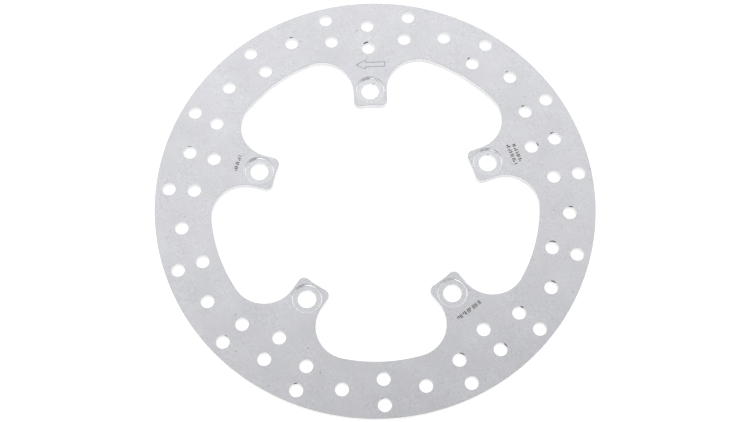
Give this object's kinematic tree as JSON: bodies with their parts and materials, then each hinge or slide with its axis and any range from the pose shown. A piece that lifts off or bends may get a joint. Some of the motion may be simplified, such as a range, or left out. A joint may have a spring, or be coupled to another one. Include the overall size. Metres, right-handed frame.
{
  "type": "brake disc",
  "caption": "Flat one-piece motorcycle brake disc: a drilled friction ring with inward lugs, each with a counterbored hole for the bolt to the wheel hub.",
  "frame": {"origin": "centre of the disc, in the plane of the face that bolts against the wheel hub", "axes": "+Z along the wheel's axle, out through the counterbored face that takes the bolt heads; +Y along one lug; +X completes a right-handed set"},
  "size_m": [0.265, 0.265, 0.005],
  "materials": {
    "ground_steel": "stainless steel, satin ground flat on both faces, with bright cut walls in the windows and holes"
  },
  "bodies": {
    "root": {"brake_disc": "ground_steel"}
  },
  "joints": []
}
